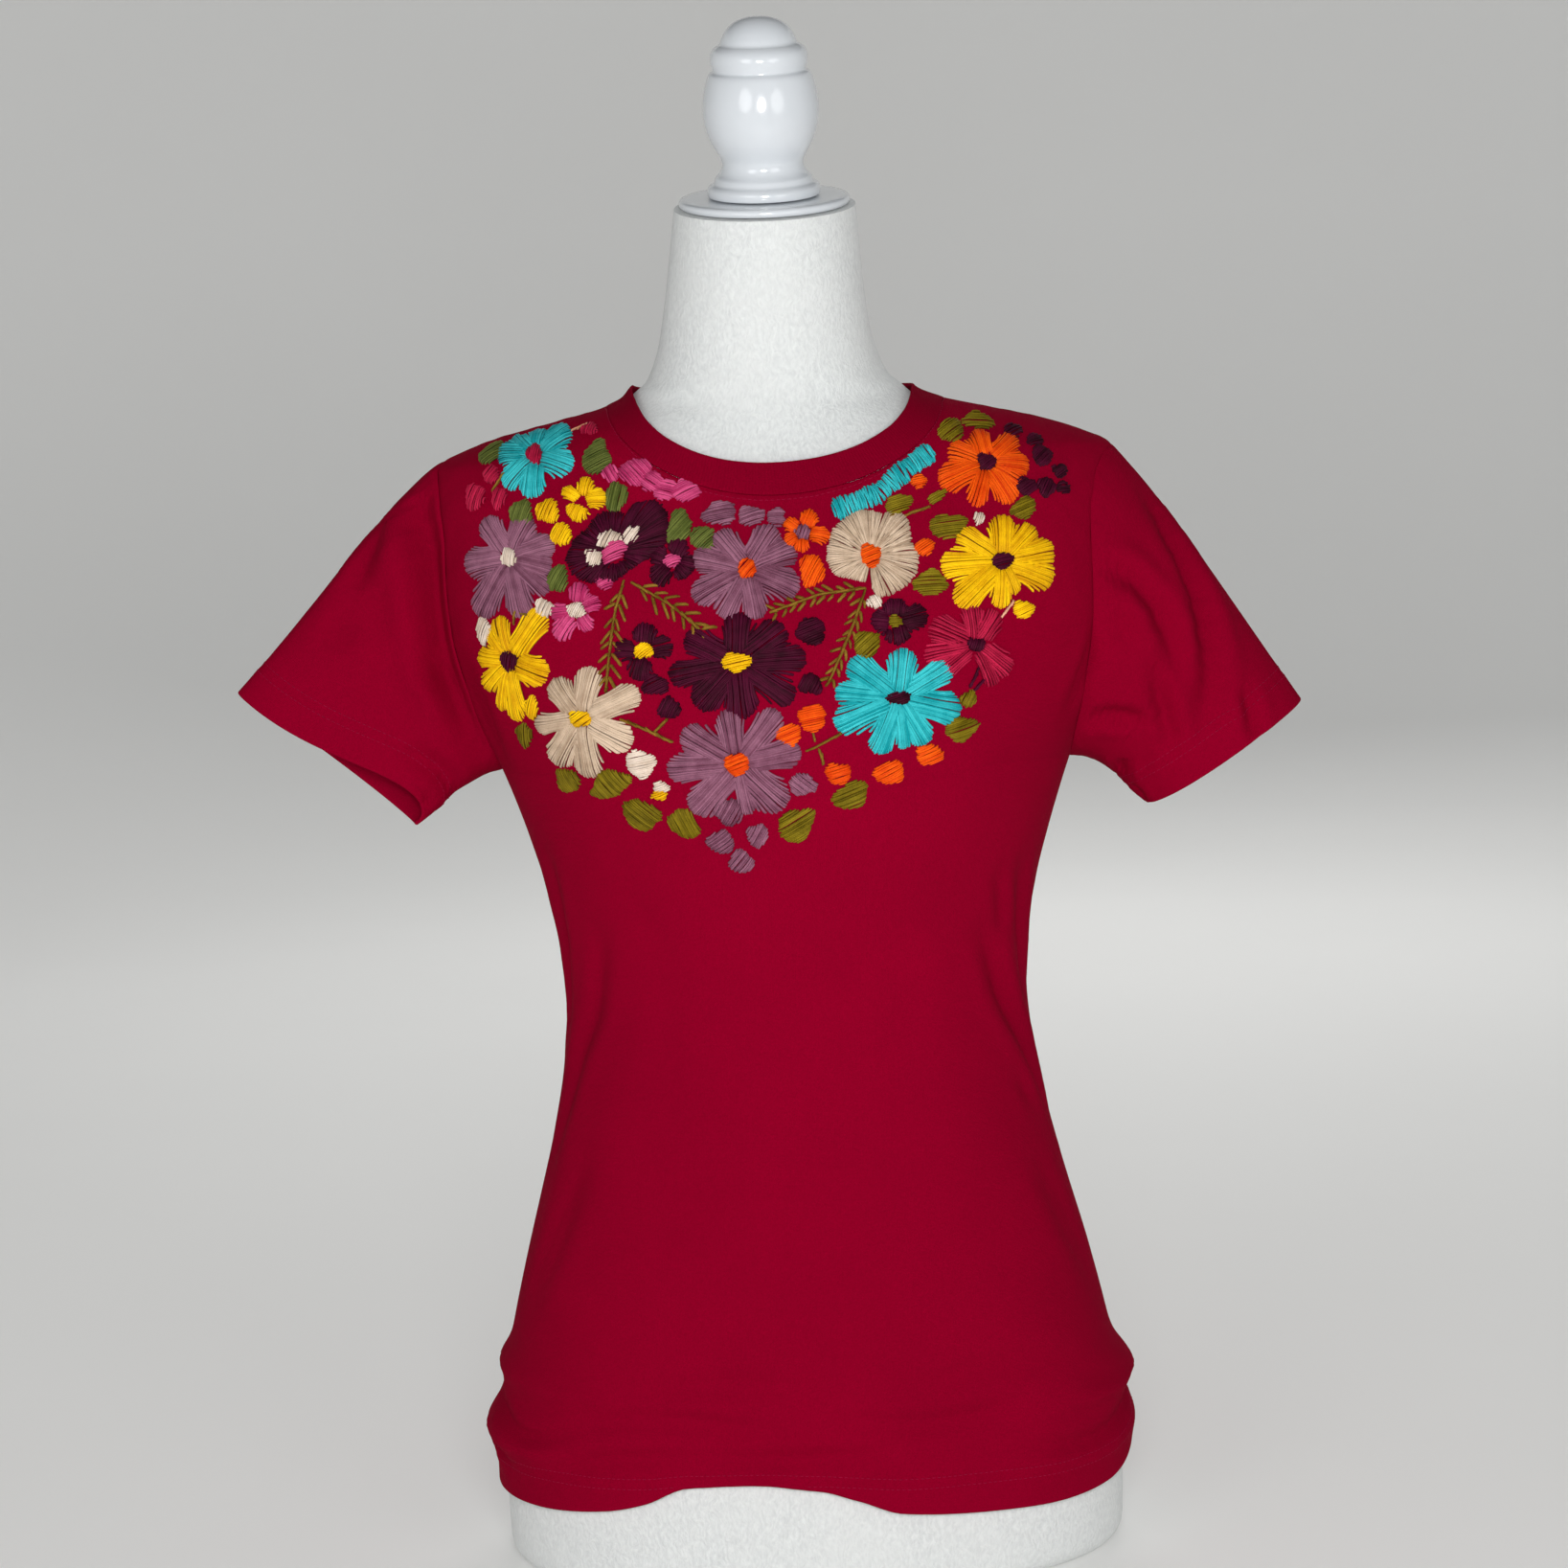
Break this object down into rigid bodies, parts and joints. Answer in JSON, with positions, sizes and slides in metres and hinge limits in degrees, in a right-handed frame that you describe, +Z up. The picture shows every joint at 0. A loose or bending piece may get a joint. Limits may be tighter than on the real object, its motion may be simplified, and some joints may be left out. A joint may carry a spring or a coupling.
{
  "type": "embroidered t-shirt on limbless dress form",
  "caption": "Short-sleeved crew-neck t-shirt in knit jersey with floral hand embroidery round the neck and chest, worn by a limbless padded dress form with a turned knob on its neck.",
  "frame": {"origin": "middle of the dress form's flat base", "axes": "+Z up, the front of the shirt faces -Y, and +X is the wearer's left side"},
  "size_m": [0.5753, 0.2418, 0.8291],
  "materials": {
    "form_jersey": "off-white cotton jersey cover, slightly fuzzy",
    "white_gloss": "white gloss lacquer on turned wood",
    "cherry_jersey": "matte cotton and elastane jersey, dark cherry red",
    "cherry_rib": "matte fine rib knit, dark cherry red"
  },
  "bodies": {
    "root": {"form_torso": "form_jersey", "neck_cap": "white_gloss", "finial": "white_gloss", "shirt_front": "cherry_jersey", "shirt_back": "cherry_jersey", "sleeve_left": "cherry_jersey", "sleeve_right": "cherry_jersey", "neckband": "cherry_rib"}
  },
  "joints": []
}
